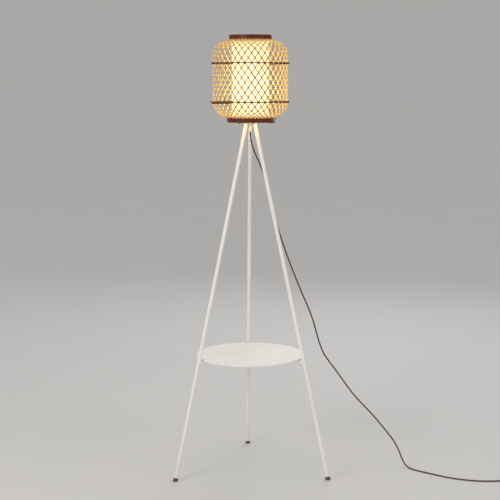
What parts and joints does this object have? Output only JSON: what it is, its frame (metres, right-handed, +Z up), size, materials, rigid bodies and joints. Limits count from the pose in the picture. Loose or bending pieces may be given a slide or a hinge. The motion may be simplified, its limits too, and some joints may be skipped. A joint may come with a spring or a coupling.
{
  "type": "tripod floor lamp",
  "caption": "Tripod floor lamp: tube legs, round shelf, woven bamboo lantern shade with an inner diffuser that lifts off its wire carrier, screw lampholder, corded foot switch and plug.",
  "frame": {"origin": "on the floor, on the lamp's upright axis, the centre of the circle through the three feet", "axes": "+Z up; the back foot is on +Y, the left and right feet are towards -Y, and the cord runs towards +X"},
  "size_m": [1.2773, 0.5741, 1.5],
  "materials": {
    "white_steel": "satin white powder coat",
    "white_board": "painted board, satin white",
    "rubber_foot": "matte dark rubber",
    "zinc_steel": "zinc plated",
    "brass": "plain",
    "white_plastic": "moulded white",
    "porcelain": "glazed",
    "lead_insulation": "wire insulation",
    "bulb_glass": "clear",
    "bulb_filament": "phosphor, lit",
    "bulb_cap": "plain",
    "bulb_insulator": "black vitrite",
    "bamboo_weave": "split bamboo, straw colour",
    "dark_bamboo": "stained dark reddish brown, satin",
    "cane": "stained thin cane",
    "diffuser_cloth": "white translucent cloth",
    "cord_pvc": "dark brown flex",
    "cord_tie": "dark tie",
    "switch_plastic": "dark moulded"
  },
  "bodies": {
    "stand": {"leg_left": "white_steel", "leg_right": "white_steel", "leg_back": "white_steel", "tripod_head": "white_steel", "shelf_lug_left": "white_steel", "shelf_lug_right": "white_steel", "shelf_lug_back": "white_steel", "shelf": "white_board", "foot_left": "rubber_foot", "foot_right": "rubber_foot", "foot_back": "rubber_foot", "leg_set_screws": "zinc_steel", "shelf_screws": "zinc_steel", "stem_washer": "zinc_steel", "stem_nut": "zinc_steel", "wire_carrier": "zinc_steel", "switch_spring": "zinc_steel", "stem_tube": "brass", "terminal_screws": "brass", "thread_shell": "brass", "centre_contact": "brass", "plug_pins": "brass", "switch_contact": "brass", "cord_strain_relief": "white_plastic", "holder_cap": "white_plastic", "holder_shell": "white_plastic", "holder_retaining_ring": "white_plastic", "holder_base": "porcelain", "lead_wires": "lead_insulation", "bulb_glass": "bulb_glass", "bulb_stem": "bulb_glass", "bulb_filaments": "bulb_filament", "bulb_cap": "bulb_cap", "bulb_tip": "bulb_cap", "bulb_insulator": "bulb_insulator", "cord_lead": "cord_pvc", "cord_tail": "cord_pvc", "cord_end": "cord_pvc", "cord_coil": "cord_pvc", "cord_tie": "cord_tie", "switch_base": "switch_plastic", "switch_cover": "switch_plastic", "plug_body": "switch_plastic", "plug_sleeve": "switch_plastic"},
    "shade": {"top_band_outer": "dark_bamboo", "top_band_inner": "dark_bamboo", "bottom_band_outer": "dark_bamboo", "bottom_band_inner": "dark_bamboo", "woven_body": "bamboo_weave", "hoop_upper": "cane", "hoop_lower": "cane", "diffuser": "diffuser_cloth", "diffuser_ring_top": "zinc_steel", "diffuser_ring_bottom": "zinc_steel"},
    "switch_button": {"switch_button": "switch_plastic"}
  },
  "joints": [
    {"name": "shade_lift", "type": "slide", "parent": "stand", "child": "shade", "axis": [0, 0, 1], "range_m": [0, 0.34]},
    {"name": "switch_press", "type": "slide", "parent": "stand", "child": "switch_button", "axis": [0, 0, -1], "range_m": [0, 0.0025], "stiffness_N_per_m": 300, "springref_m": -0.001, "deforming": ["switch_spring"]}
  ]
}
